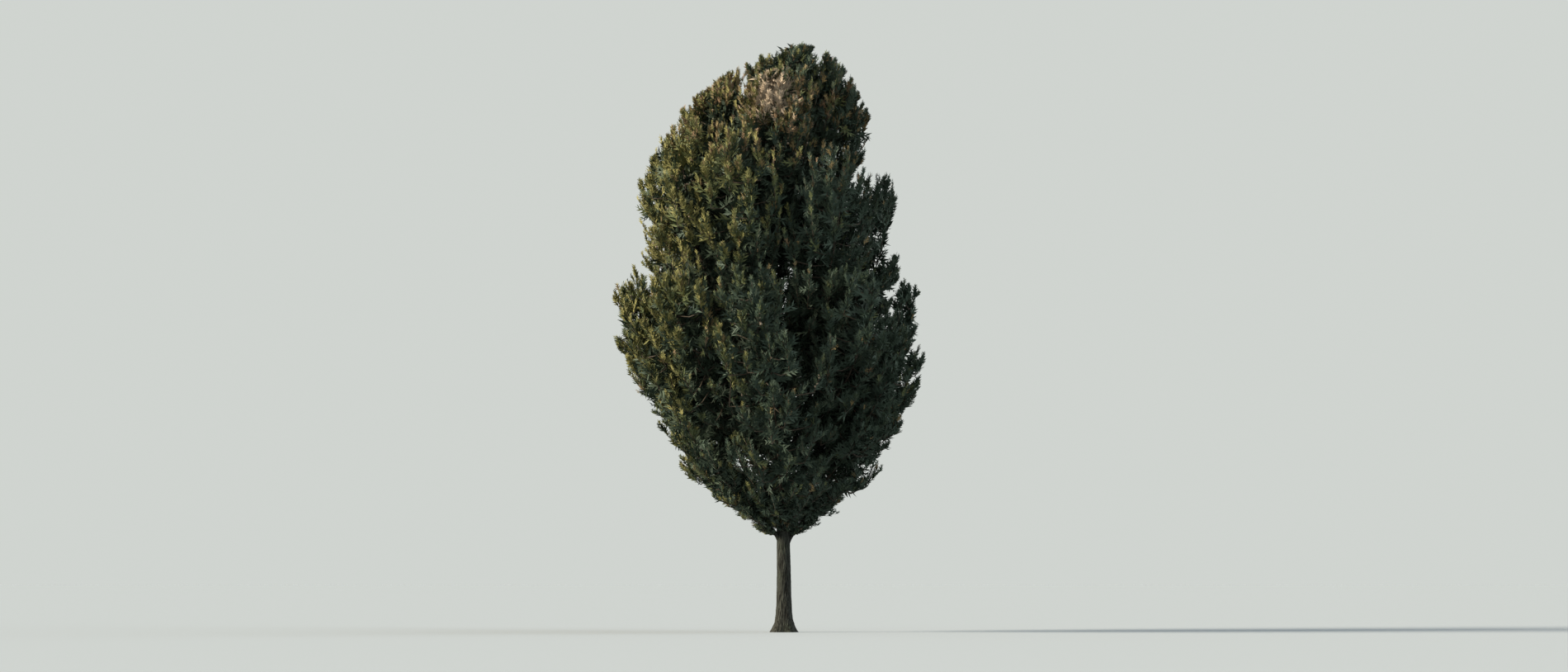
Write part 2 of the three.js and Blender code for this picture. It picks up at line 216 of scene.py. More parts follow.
trunk_bark = bark_finish("trunk_bark", TRUNK_RIDGE_WIDTH)
trunk_blank = limb_blank(TRUNK_SIDES, TRUNK_RINGS)
for corner in trunk_blank.verts:
    level = TRUNK_HEIGHT * (corner.co.z + 0.5) ** TRUNK_RING_CROWDING
    turn = math.atan2(corner.co.x, corner.co.y)
    radius = float(trunk_radius(level, turn))
    radius += RIDGE_HEIGHT * radius / TRUNK_RADIUS * bark_ridge(turn, level, RIDGES_ROUND)
    middle = centre_line(level)
    corner.co = (middle[0] + radius * math.sin(turn), middle[1] + radius * math.cos(turn), level)
bmesh.ops.recalc_face_normals(trunk_blank, faces=trunk_blank.faces)
trunk = as_piece("trunk_bark", trunk_blank, [trunk_bark])
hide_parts("trunk")


# The boughs leave the trunk in four tiers, steeply, and each ends where it enters its plume of
# foliage. Each is one tapering limb in the same bark, finer than the trunk's, with a swollen
# collar where it grows out of the trunk.
CROWN_FOOT = 1.75
CROWN_WIDEST_LEVEL = 5.9
CROWN_RADIUS = 2.9
CROWN_FOOT_POWER = 0.64
CROWN_TOP_POWER = 0.6
CROWN_WAIST_LEVEL = 7.15
CROWN_WAIST_DEPTH = 0.33
CROWN_WAIST_HEIGHT = 0.65
TIERS = [
    dict(name="low", count=6, turn=30, fork=1.42, spread=0.33, foot=1.93, foot_out=0.3, tip=5.35,
         lift=0, reach=0.97, bend_out=0.58, bend_up=0.32, girth=1.15, bough_radius=0.05),
    dict(name="middle", count=8, turn=0, fork=2.35, spread=0.8, foot=3.0, foot_out=0.4, tip=6.35,
         lift=0, reach=1, bend_out=0.76, bend_up=0.25, girth=1.15, bough_radius=0.05),
    dict(name="shoulder", count=7, turn=0, fork=4.0, spread=0.7, foot=4.7, foot_out=0.34, tip=8.75,
         lift=0.6, reach=0.97, bend_out=0.82, bend_up=0.25, girth=1.25, bough_radius=0.04),
    dict(name="upper", count=4, turn=-90, fork=6.1, spread=0.4, foot=6.7, foot_out=0.26, tip=10.4,
         lift=0, reach=0.98, bend_out=0.8, bend_up=0.35, girth=1.05, bough_radius=0.028),
]
TOP_GIRTH = 0.82
SPIRAL = 0.382
TURN_JITTER = 7
HEIGHT_JITTER = 0.15
BOUGH_TAPER = 0.62
BOUGH_RISE = 0.5
BOUGH_SIDES = 20
BOUGH_RINGS = 26
BOUGH_RIDGES_ROUND = 12
BOUGH_RIDGE_HEIGHT = 0.05
BOUGH_RIDGE_WIDTH = 0.012
BOUGH_BURIED = 0.8
COLLAR_SWELL = 0.45
COLLAR_LENGTH = 0.1
LAYOUT_SEED = 4127
CHANCE_STEP = 16807
CHANCE_SPAN = 2147483647
SHORTEST = 1e-9
TOP_STEP = 0.001


def seeded_chance(seed):
    """The source's own repeatable chance, so that the plumes stand where its solids do."""
    state = seed
    while True:
        state = state * CHANCE_STEP % CHANCE_SPAN
        yield state / CHANCE_SPAN


def crown_radius(height):
    height = np.asarray(height, float)
    below = height < CROWN_WIDEST_LEVEL
    reach = np.where(below, CROWN_WIDEST_LEVEL - CROWN_FOOT, TREE_HEIGHT - CROWN_WIDEST_LEVEL)
    share = np.minimum(1, np.abs(height - CROWN_WIDEST_LEVEL) / reach)
    egg = CROWN_RADIUS * (1 - share**2) ** np.where(below, CROWN_FOOT_POWER, CROWN_TOP_POWER)
    from_waist = (height - CROWN_WAIST_LEVEL) / CROWN_WAIST_HEIGHT
    return np.maximum(0, egg - CROWN_WAIST_DEPTH * np.exp(-(from_waist**2)))


def out_from(turn, out, height):
    middle = centre_line(height)
    return np.array([middle[0] + out * math.cos(turn), middle[1] + out * math.sin(turn), height])


def on_line(line, share):
    """Points on a three-point curve."""
    share = np.asarray(share, float)[..., None]
    return (1 - share) ** 2 * line[0] + 2 * share * (1 - share) * line[1] + share**2 * line[2]


def along_line(line, share):
    share = np.asarray(share, float)[..., None]
    return unit((1 - share) * (line[1] - line[0]) + share * (line[2] - line[1]))


def unit(vectors):
    return vectors / np.maximum(np.linalg.norm(vectors, axis=-1, keepdims=True), SHORTEST)


def square_to(along, side):
    """The direction square to a line that is nearest to side, and the one square to both."""
    level = unit(side - along * np.sum(along * side, axis=-1, keepdims=True))
    return level, np.cross(level, along)


def lay_out_plume(tier, index, chance):
    even_turn = tier["turn"] + 360 * index / tier["count"]
    turn = math.radians(even_turn + TURN_JITTER * (2 * next(chance) - 1))
    tip = tier["tip"] - tier["lift"] * math.cos(turn) + HEIGHT_JITTER * (2 * next(chance) - 1)
    tip_out = tier["reach"] * float(crown_radius(tip))
    climb = tier["spread"] * (index * SPIRAL % 1)
    foot = out_from(turn, tier["foot_out"], tier["foot"] + climb)
    bend = out_from(turn, tier["bend_out"] * tip_out, foot[2] + (tip - foot[2]) * tier["bend_up"])
    line = np.array([foot, bend, out_from(turn, tip_out, tip)])
    fork = out_from(turn, 0, tier["fork"] + climb)
    rise = foot - along_line(line, 0) * BOUGH_RISE * np.linalg.norm(foot - fork)
    return dict(
        name=f"{tier['name']}_{index + 1}", line=line, bough=np.array([fork, rise, foot]),
        side=np.array([-math.sin(turn), math.cos(turn), 0]), bough_radius=tier["bough_radius"],
        foot_radius=tier["bough_radius"] * BOUGH_TAPER, girth=tier["girth"],
    )


def lay_out_top_plume():
    foot = out_from(0, 0, TRUNK_HEIGHT)
    upward = unit(out_from(0, 0, TRUNK_HEIGHT + TOP_STEP) - out_from(0, 0, TRUNK_HEIGHT - TOP_STEP))
    bend = foot + upward * (TREE_HEIGHT - TRUNK_HEIGHT) / 2
    return dict(
        name="top", line=np.array([foot, bend, out_from(0, 0, TREE_HEIGHT)]), bough=None,
        side=np.array([0.0, 1, 0]), bough_radius=0, foot_radius=TRUNK_TIP_RADIUS, girth=TOP_GIRTH,
    )


layout_chance = seeded_chance(LAYOUT_SEED)
plumes = [lay_out_plume(tier, index, layout_chance) for tier in TIERS for index in range(tier["count"])]
plumes.append(lay_out_top_plume())
bough_bark = bark_finish("bough_bark", BOUGH_RIDGE_WIDTH)
for plume in plumes[:-1]:
    limb = limb_blank(BOUGH_SIDES, BOUGH_RINGS)
    length = np.linalg.norm(plume["bough"][2] - plume["bough"][0])
    buried = BOUGH_BURIED * float(trunk_radius(plume["bough"][0][2])) / length
    for corner in limb.verts:
        share = buried + (1 - buried) * (corner.co.z + 0.5)
        turn = math.atan2(corner.co.x, corner.co.y)
        radius = plume["bough_radius"] * (1 - (1 - BOUGH_TAPER) * share)
        radius *= 1 + COLLAR_SWELL * math.exp(-(share - buried) * length / COLLAR_LENGTH)
        radius *= 1 + BOUGH_RIDGE_HEIGHT * bark_ridge(turn, share * length, BOUGH_RIDGES_ROUND)
        along = along_line(plume["bough"], share)
        level, out = square_to(along, plume["side"])
        aside = math.sin(turn) * level + math.cos(turn) * out
        corner.co = on_line(plume["bough"], share) + radius * aside
    bmesh.ops.recalc_face_normals(limb, faces=limb.faces)
    bough = as_piece(f"bark_{plume['name']}", limb, [bough_bark])
    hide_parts(f"bough_{plume['name']}")


# Each plume grows from its bough's tip by the rule of the solids, carried to finer twigs: a stem,
# and twigs that leave it and turn upwards into forked tufts. A twig that would leave the plume's
# own space, all that is nearer to its line than to another plume's, is tried shorter, then skipped.
CHAIN_PIECES = 12
BORDER_SWAY = 0.28
BORDER_WAVES = np.array([[2.1, 5.3, 8.0], [6.7, -3.1, 5.1], [-4.9, 4.4, 9.7]])
ROOM_STEP = 0.04
SPACE_EDGE = 0.01
GIRTH_PEAK = 0.45
GIRTH_FOOT_POWER = 0.6
GIRTH_TIP_POWER = 0.6
GOLDEN_SHARE = 0.618034
TUFTS_PER_METRE = 17
TUFTS = {
    "low": dict(crowding=1, tip_crowding=0.9, margin=0.14, leader_end=1),
    "middle": dict(crowding=1, tip_crowding=0.9, margin=0.14, leader_end=1),
    "shoulder": dict(crowding=1.1, tip_crowding=0.8, margin=0.14, leader_end=1),
    "upper": dict(crowding=1.7, tip_crowding=0.75, margin=0.06, leader_end=1),
    "top": dict(crowding=2.2, tip_crowding=0.85, margin=0.06, leader_end=0.955),
}
TUFT_FIRST = 0.01
TUFT_SPAN = 0.94
TUFT_ARC = 350
TUFT_ARC_JITTER = 12
TUFT_ROOT = (0.4, 0.92)
TUFT_AIM_UP = 0.1
TUFT_LENGTH = 0.92
TUFT_LENGTH_SPREAD = 0.3
TUFT_SHORTEN = 0.84
TUFT_TRIES = 7
TUFT_LEAN = (12, 34)
TUFT_UPTURN = 0.55
LEADER_LENGTH = 0.75
SIDE_SHOOT_PLACES = (0.12, 0.36, 0.6)
SIDE_SHOOT_JITTER = 0.1
SIDE_SHOOT_RANGE = (0.03, 0.8)
SIDE_SHOOT_SPREAD = (28, 46)
SIDE_SHOOT_LENGTH = 0.46
SIDE_SHOOT_CHANCE = (0.8, 1.2)
SIDE_SHOOT_TAPER = 0.45
SIDE_SHOOT_UPTURN = 0.35
SKIRT_SHOOTS = 64
SKIRT_ON_BOUGH = 0.6
SKIRT_BOUGH_START = 0.45
SKIRT_BOUGH_SPAN = 0.9
SKIRT_STEM_SPAN = 0.3
SKIRT_ARC = 1.5
SKIRT_LENGTH = (0.2, 0.46)
SKIRT_RISE = (-0.1, 0.5)
SHOOT_TRIES = 5
LEVEL_MARK = np.array([0.31, 0.87, 0.38])
STEM_END = 0.97
STEM_POINTS = 14
STEM_SIDES = 8
STEM_TAPER = 0.2
TWIG_POINTS = 4
TWIG_SIDES = 3
TWIG_DROOP = 0.06
TUFT_RADIUS = (0.011, 0.003)
LINK_RADIUS = (0.016, 0.013, TUFT_RADIUS[0])
SHOOT_RADIUS = (0.006, 0.002)
LIMB_GAP = 0.03
BOUGH_REACH = 1.2
GROWTH_SEED = 7
TWIG_BROWN = (0.034, 0.026, 0.018, 1)
TWIG_ROUGHNESS = 0.85


def chain_along(line):
    return on_line(line, np.linspace(0, 1, CHAIN_PIECES + 1))


def distance_to_chain(points, chain):
    start, end = chain[:-1], chain[1:]
    piece = end - start
    across = points[:, None, :] - start
    share = np.sum(across * piece, axis=-1) / np.sum(piece * piece, axis=-1)
    across -= np.clip(share, 0, 1)[..., None] * piece
    return np.sqrt(np.min(np.sum(across * across, axis=-1), axis=1))


def swayed_distance(points, owner):
    """Distance to a plume's line, swayed a little, so that neighbouring plumes interlock."""
    sway = np.sin(points @ BORDER_WAVES.T + 2 * math.pi * GOLDEN_SHARE * owner * np.array([1, 2, 3]))
    return distance_to_chain(points, plume_chains[owner]) + BORDER_SWAY * sway.mean(axis=1)


def depth_in_space(points, owner):
    """How deep points lie in a plume's own space."""
    nearest = np.full(len(points), np.inf)
    for other in range(len(plume_chains)):
        if other != owner:
            nearest = np.minimum(nearest, swayed_distance(points, other))
    return (nearest - swayed_distance(points, owner)) / 2


def out_of_line(points):
    return np.linalg.norm(points[:, :2] - centre_line(points[:, 2]), axis=-1)


def clear_of_limbs(points):
    clear = (points[:, 2] > TRUNK_HEIGHT) | (out_of_line(points) > trunk_radius(points[:, 2]) + LIMB_GAP)
    for plume in plumes[:-1]:
        near = np.linalg.norm(points - plume["bough"][1], axis=-1) < BOUGH_REACH
        if near.any():
            away = distance_to_chain(points[near], chain_along(plume["bough"]))
            clear[near] &= away > plume["bough_radius"] + LIMB_GAP
    return clear


def in_space(points, owner, margin=0.0):
    inside = out_of_line(points) < crown_radius(points[:, 2]) - margin
    inside[inside] = depth_in_space(points[inside], owner) > SPACE_EDGE
    inside[inside] = clear_of_limbs(points[inside])
    return inside


def directions_round(plume, share, angle):
    along = along_line(plume["line"], share)
    level, out = square_to(along, plume["side"])
    return along, level * np.sin(angle)[:, None] + out * np.cos(angle)[:, None]


def plume_girth(plume, share):
    below = share < GIRTH_PEAK
    from_peak = np.abs(share - GIRTH_PEAK) / np.where(below, GIRTH_PEAK, 1 - GIRTH_PEAK)
    power = np.where(below, GIRTH_FOOT_POWER, GIRTH_TIP_POWER)
    return plume["girth"] * (1 - np.clip(from_peak, 0, 1) ** 2) ** power


def room_round(owner, share, angle):
    """How far out of a plume's line its own space reaches, at shares of the line and angles round it."""
    plume = plumes[owner]
    _, outward = directions_round(plume, share, angle)
    steps = np.arange(1, int(plume["girth"] / ROOM_STEP) + 1) * ROOM_STEP
    points = on_line(plume["line"], share)[:, None, :] + steps[:, None] * outward[:, None, :]
    inside = in_space(points.reshape(-1, 3), owner).reshape(len(share), len(steps))
    inside &= steps < plume_girth(plume, share)[:, None]
    return ROOM_STEP * np.cumprod(inside, axis=1).sum(axis=1) + ROOM_STEP


def grow_tufts(owner, growth):
    """The curved axes of a plume's tufts, where their twigs leave the stem, and their margins."""
    plume = plumes[owner]
    length = np.linalg.norm(plume["line"][2] - plume["line"][0])
    rule = TUFTS[plume["name"].split("_")[0]]
    count = round(TUFTS_PER_METRE * rule["crowding"] * length)
    order = np.arange(count)
    share = TUFT_FIRST + TUFT_SPAN * ((order + growth.random(count)) / count) ** rule["tip_crowding"]
    arc_jitter = growth.uniform(-TUFT_ARC_JITTER, TUFT_ARC_JITTER, count)
    angle = np.radians(TUFT_ARC * ((order * GOLDEN_SHARE) % 1 - 0.5) + arc_jitter)
    sink = growth.uniform(*TUFT_ROOT, count)
    _, outward = directions_round(plume, share, angle)
    higher = np.minimum(1, share + TUFT_AIM_UP)
    _, outward_higher = directions_round(plume, higher, angle)
    room = room_round(owner, share, angle)
    room_higher = room_round(owner, higher, angle)
    stem_point = on_line(plume["line"], share)
    root = stem_point + outward * (sink * room)[:, None]
    above = on_line(plume["line"], higher) + outward_higher * (sink * room_higher)[:, None]
    lean = np.radians(growth.uniform(*TUFT_LEAN, count))[:, None]
    along = unit(unit(above - root) * np.cos(lean) + outward * np.sin(lean))
    reach = TUFT_LENGTH * (1 + TUFT_LENGTH_SPREAD * growth.uniform(-1, 1, count))
    margin = growth.uniform(0, rule["margin"], count)
    for _ in range(TUFT_TRIES):
        bend = root + along * (0.5 * reach)[:, None]
        tip = bend + unit(along + [0, 0, TUFT_UPTURN]) * (0.5 * reach)[:, None]
        kept = in_space(bend, owner, margin) & in_space(tip, owner, margin)
        reach = np.where(kept, reach, reach * TUFT_SHORTEN)
    tufts = np.stack([root, bend, tip], axis=1)
    leader_tip = on_line(plume["line"], rule["leader_end"])
    leader_root = leader_tip - along_line(plume["line"], 1) * LEADER_LENGTH
    leader = np.array([leader_root, (leader_root + leader_tip) / 2, leader_tip])
    return (
        np.concatenate([tufts[kept], leader[None]]),
        np.concatenate([stem_point[kept], leader_root[None]]),
        np.append(margin[kept], 0),
    )


def turned_aside(axis, turn, spread, upturn):
    """Directions that leave an axis by a spread, at turns round it, then bent up, and their sides."""
    level, out = square_to(axis, LEVEL_MARK)
    aside = level * np.cos(turn)[:, None] + out * np.sin(turn)[:, None]
    away = axis * np.cos(spread)[:, None] + aside * np.sin(spread)[:, None]
    return unit(away + [0, 0, upturn]), aside


def cut_to_fit(owner, roots, along, reach, margin, tries, shorten):
    """Lengths, each shortened until it ends in the plume's space, and which of them end there."""
    for _ in range(tries):
        fits = in_space(roots + along * reach[:, None], owner, margin)
        reach = np.where(fits, reach, reach * shorten)
    return reach, fits


def shoots_within(owner, roots, along, reach, margin):
    """Straight shoots that end in the plume's space, with their margins."""
    reach, kept = cut_to_fit(owner, roots, along, reach, margin, SHOOT_TRIES, TUFT_SHORTEN)
    return np.stack([roots, roots + along * reach[:, None]], axis=1)[kept], margin[kept]


def fork_tufts(owner, tufts, margins, growth):
    """The side shoots of a plume's tufts: three to a tuft, turned a third of a round from each other."""
    each = len(SIDE_SHOOT_PLACES)
    parents = np.repeat(tufts, each, axis=0)
    jitter = growth.uniform(-SIDE_SHOOT_JITTER, SIDE_SHOOT_JITTER, len(parents))
    places = np.clip(np.tile(SIDE_SHOOT_PLACES, len(tufts)) + jitter, *SIDE_SHOOT_RANGE)
    lines = parents.swapaxes(0, 1)
    roots = on_line(lines, places)
    turn = 2 * math.pi * (np.arange(len(places)) / each + np.repeat(growth.random(len(tufts)), each))
    spread = np.radians(growth.uniform(*SIDE_SHOOT_SPREAD, len(places)))
    along, _ = turned_aside(along_line(lines, places), turn, spread, SIDE_SHOOT_UPTURN)
    parent_length = np.linalg.norm(parents[:, 2] - parents[:, 0], axis=-1)
    reach = SIDE_SHOOT_LENGTH * parent_length * (1 - SIDE_SHOOT_TAPER * places)
    reach *= growth.uniform(*SIDE_SHOOT_CHANCE, len(places))
    return shoots_within(owner, roots, along, reach, np.repeat(margins, each))


def hang_skirt(owner, growth):
    """Short shoots on a low bough and its stem's foot, which close the crown down to the bare trunk."""
    plume = plumes[owner]
    place = growth.uniform(0, 1, SKIRT_SHOOTS)
    on_bough = on_line(plume["bough"], np.clip(SKIRT_BOUGH_START + SKIRT_BOUGH_SPAN * place, 0, 1))
    on_stem = on_line(plume["line"], np.clip(SKIRT_STEM_SPAN * (place - SKIRT_ON_BOUGH), 0, 1))
    roots = np.where(place[:, None] < SKIRT_ON_BOUGH, on_bough, on_stem)
    heading = math.atan2(plume["line"][0][1], plume["line"][0][0])
    turn = heading + growth.uniform(-SKIRT_ARC, SKIRT_ARC, SKIRT_SHOOTS)
    rise = growth.uniform(*SKIRT_RISE, SKIRT_SHOOTS)
    along = unit(np.stack([np.cos(turn), np.sin(turn), rise], axis=-1))
    reach = growth.uniform(*SKIRT_LENGTH, SKIRT_SHOOTS)
    return shoots_within(owner, roots, along, reach, np.zeros(SKIRT_SHOOTS))


def tubes(paths, radii, sides):
    """Corners and triangles of thin closed limbs along paths of shape (limbs, points, 3)."""
    limbs, points, _ = paths.shape
    along = unit(np.gradient(paths, axis=1))
    level, out = square_to(along, LEVEL_MARK)
    turns = 2 * math.pi * np.arange(sides) / sides
    ring = level[:, :, None] * np.cos(turns)[:, None] + out[:, :, None] * np.sin(turns)[:, None]
    corners = paths[:, :, None] + radii[:, :, None, None] * ring
    corner = np.arange(points * sides).reshape(points, sides)
    following = np.roll(corner, -1, axis=1)
    low, high = (corner[:-1], following[:-1]), (corner[1:], following[1:])
    walls = np.concatenate([
        np.stack([low[0], high[1], low[1]], -1).reshape(-1, 3),
        np.stack([low[0], high[0], high[1]], -1).reshape(-1, 3),
    ])
    fan = np.arange(1, sides - 1)
    foot = np.stack([np.zeros_like(fan), fan, fan + 1], -1)
    end = foot[:, ::-1] + (points - 1) * sides
    faces = np.concatenate([walls, foot, end])
    count = points * sides
    return corners.reshape(-1, 3), (faces[None] + count * np.arange(limbs)[:, None, None]).reshape(-1, 3)


def joined_piece(name, parts, finishes, tones=None):
    """One object from parts of corners and triangles, with a finish's number for each triangle."""
    starts = np.cumsum([0] + [len(corners) for corners, _ in parts])
    corners = np.concatenate([corners for corners, _ in parts])
    faces = np.concatenate([faces + start for (_, faces), start in zip(parts, starts)])
    mesh = bpy.data.meshes.new(name)
    mesh.vertices.add(len(corners))
    mesh.vertices.foreach_set("co", np.asarray(corners, np.float32).ravel())
    mesh.loops.add(3 * len(faces))
    mesh.loops.foreach_set("vertex_index", np.asarray(faces, np.int32).ravel())
    mesh.polygons.add(len(faces))
    mesh.polygons.foreach_set("loop_start", np.arange(0, 3 * len(faces), 3, dtype=np.int32))
    for finish in finishes:
        mesh.materials.append(finish)
    if tones is not None:
        mesh.polygons.foreach_set("material_index", np.asarray(tones, np.int32))
    mesh.update(calc_edges=True)
    mesh.validate()
    piece = bpy.data.objects.new(name, mesh)
    bpy.context.scene.collection.objects.link(piece)
    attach(piece, "root")
    return piece


growth = np.random.default_rng(GROWTH_SEED)
plume_chains = [chain_along(plume["line"]) for plume in plumes]
tufts_of, shoots_of, margins_of, links_of, twig_parts = [], [], [], [], []
for owner, plume in enumerate(plumes):
    tufts, stem_points, margins = grow_tufts(owner, growth)
    tufts_of.append(tufts)
    shoots, shoot_margins = fork_tufts(owner, tufts, margins, growth)
    if plume["name"].startswith("low"):
        skirt, skirt_margins = hang_skirt(owner, growth)
        shoots, shoot_margins = np.concatenate([shoots, skirt]), np.append(shoot_margins, skirt_margins)
    shoots_of.append(shoots)
    margins_of.append(np.append(margins, shoot_margins))
    twig_parts.append(tubes(shoots, np.tile(SHOOT_RADIUS, (len(shoots), 1)), TWIG_SIDES))
    shares = np.linspace(0, STEM_END, STEM_POINTS)
    stem_radii = plume["foot_radius"] * (1 + (STEM_TAPER - 1) * shares)
    twig_parts.append(tubes(on_line(plume["line"], shares)[None], stem_radii[None], STEM_SIDES))
    droop = (stem_points + tufts[:, 0]) / 2 - [0, 0, TWIG_DROOP]
    links = np.stack([stem_points, droop, tufts[:, 0]], axis=1)
    links_of.append(links)
    twig_parts.append(tubes(links[:-1], np.tile(LINK_RADIUS, (len(links) - 1, 1)), TWIG_SIDES))
    axes = np.stack([on_line(tufts.swapaxes(0, 1), t) for t in np.linspace(0, 1, TWIG_POINTS)], axis=1)
    tuft_radii = np.tile(np.linspace(*TUFT_RADIUS, TWIG_POINTS), (len(axes), 1))
    twig_parts.append(tubes(axes, tuft_radii, TWIG_SIDES))
twigs = joined_piece("twigs", twig_parts, [Finish("twig_brown", TWIG_BROWN, TWIG_ROUGHNESS).material])


# The leaves are tiny scales pressed to the shoots, so the eye sees feathery sprays, some forty to
# a tuft and its shoots. Each spray is a spine with side shoots, all of them folded blades of two
# faces, and has one plain colour, dealt out by where it stands.
SPRAYS_PER_TUFT = 17
SPRAYS_PER_SHOOT = 8
SPRAY_START = 0.6
SPRAY_LENGTH = 0.2
SPRAY_FOOT_SIZE = 1.12
SPRAY_TAPER = 0.45
SPRAY_CHANCE = (0.75, 1.25)
SPRAY_ON_SHOOT = 0.85
SPRAY_SPREAD = (54, 15)
SPRAY_SPREAD_JITTER = 10
SPRAY_TURN_JITTER = 0.5
SPRAY_FACE_JITTER = 0.45
SPRAY_UPTURN = 0.75
SPRAY_OVER_MARGIN = 0.05
SPRAY_SHORTEN = 0.78
SPRAY_TRIES = 3
SPRAY_KINDS = 6
OUTER_SPRAY = dict(shoots=5, spine_width=0.2, width=0.3)
INNER_SPRAY = dict(shoots=6, spine_width=0.12, width=0.25)
BLADE_FACES = np.array([[0, 2, 1], [0, 3, 2]])
BLADE_CORNERS = 4
BLADE_WIDEST = 0.4
FOLD = 0.35
SHOOT_FIRST = 0.1
SHOOT_SPAN = 0.6
SHOOT_JITTER = 0.03
SHOOT_SPREAD = (30, 46)
SHOOT_ROLL = (-38, 38)
SHOOT_LENGTH = 0.52
SHOOT_FOOT_SIZE = 1.1
SHOOT_TAPER = 0.6
SHOOT_CHANCE = (0.85, 1.15)
INNER_PER_TWIG = 5
INNER_PER_TUFT = 4
INNER_PER_STEM = 150
INNER_ON_TWIG_RANGE = (0.3, 1)
INNER_ON_TUFT_RANGE = (0, 0.6)
INNER_ON_STEM_RANGE = (0.02, 0.95)
INNER_OUTWARD = (0.2, 1.2)
INNER_STRAY = 0.4
INNER_FACE_JITTER = 0.3
INNER_LENGTH = 0.4
INNER_CHANCE = (0.8, 1.2)
INNER_UPTURN = 0.45
INNER_ON_TUFT = 0.7
INNER_SHADE = 0.3
INNER_MARGIN = 0.12
MOST_FACES = 190000
LEAF_ROUGHNESS = 0.66
LEAF_SPECULAR = 0.18
# Leaf tones from dark to pale, dealt partly at random and partly as painted light: the paler ones paint
# sunlight on the crown's left, the darker ones paint shade on its right and deep inside.
LEAF_TONES = {
    "leaf_shade": (0.020, 0.032, 0.021, 1),
    "leaf_deep": (0.027, 0.041, 0.025, 1),
    "leaf_blue": (0.026, 0.042, 0.030, 1),
    "leaf_mid": (0.058, 0.071, 0.030, 1),
    "leaf_olive": (0.092, 0.094, 0.034, 1),
    "leaf_bright": (0.132, 0.125, 0.044, 1),
    "leaf_bronze": (0.112, 0.086, 0.040, 1),
    "leaf_russet": (0.128, 0.086, 0.050, 1),
    "leaf_dry": (0.300, 0.245, 0.182, 1),
}
TONE = {name: number for number, name in enumerate(LEAF_TONES)}
BLUE_BELOW = 0.34
TONE_STEPS = {"leaf_mid": 0.62, "leaf_olive": 0.80, "leaf_bright": 0.98}
SUNNY_EDGE = dict(low=-0.8, lean=1.1, start=6.5, rise=3, width=1.2)
SUNNY_HEIGHT = dict(start=2.5, rise=4.5, least=0.3)
SUNNY_FRONT = dict(fall=0.3, least=0.55)
CREST = dict(start=9.95, rise=0.7, shade=0.12, cool=0.5)
LIGHT_MIDDLE = 0.5
SUNNY_LIGHT = 0.5
SHADY_LIGHT = 0.3
TUFT_LIGHT = 0.6
TIP_LIGHT = 0.25
SPRAY_LIGHT = 0.22
WARM_ZONES = [dict(x=-0.9, z=9.7, spread=1.2, strength=1), dict(x=0.5, z=9.5, spread=0.9, strength=0.75)]
BRONZE_SHARE = (0.015, 0.45)
RUSSET_SHARE = (0.003, 0.16)
DRY_PATCH = dict(x=-0.22, z=9.82, wide=0.06, high=0.1, strength=1.8)
SHADE_DEPTH = 0.75


def blade(root, along, across, face, length, width):
    """A folded blade of two faces: root, left edge, tip, right edge."""
    middle = root + along * length * BLADE_WIDEST
    half = across * width / 2
    sunk = -face * width * FOLD / 2
    return [root, middle - half + sunk, root + along * length, middle + half + sunk]


def spray_shape(growth, shoots, spine_width, width):
    """The corners of one spray, a unit long on Z, blade by blade."""
    across, face, along = np.eye(3)
    corners = blade(np.zeros(3), along, across, face, 1.0, spine_width)
    for shoot in range(shoots):
        up = SHOOT_FIRST + SHOOT_SPAN * shoot / (shoots - 1) + growth.uniform(-SHOOT_JITTER, SHOOT_JITTER)
        hand = 1 if shoot % 2 else -1
        spread = math.radians(growth.uniform(*SHOOT_SPREAD))
        roll = math.radians(growth.uniform(*SHOOT_ROLL))
        aside = hand * across * math.cos(roll) + face * math.sin(roll)
        shoot_along = along * math.cos(spread) + aside * math.sin(spread)
        shoot_across = along * math.sin(spread) - aside * math.cos(spread)
        shoot_face = np.cross(shoot_across, shoot_along)
        length = SHOOT_LENGTH * (SHOOT_FOOT_SIZE - SHOOT_TAPER * up) * growth.uniform(*SHOOT_CHANCE)
        corners += blade(along * up, shoot_along, shoot_across, shoot_face, length, width * length)
    return corners


def place_sprays(shapes, roots, along, face_toward, lengths, tones):
    """Sprays set at roots, pointing along, with a face turned outward: corners, triangles, tones."""
    across = unit(np.cross(along, face_toward))
    face = np.cross(across, along)
    turned = shapes[..., :1] * across[:, None] + shapes[..., 1:2] * face[:, None]
    turned += shapes[..., 2:] * along[:, None]
    world = roots[:, None] + lengths[:, None, None] * turned
    blades = np.arange(0, world.shape[0] * world.shape[1], BLADE_CORNERS)[:, None, None]
    faces = (blades + BLADE_FACES).reshape(-1, 3)
    return world.reshape(-1, 3), faces, np.repeat(tones, len(faces) // len(roots))


def risen(height, zone):
    """How far a height has risen through a zone of the crown, from 0 to 1."""
    return np.clip((height - zone["start"]) / zone["rise"], 0, 1)


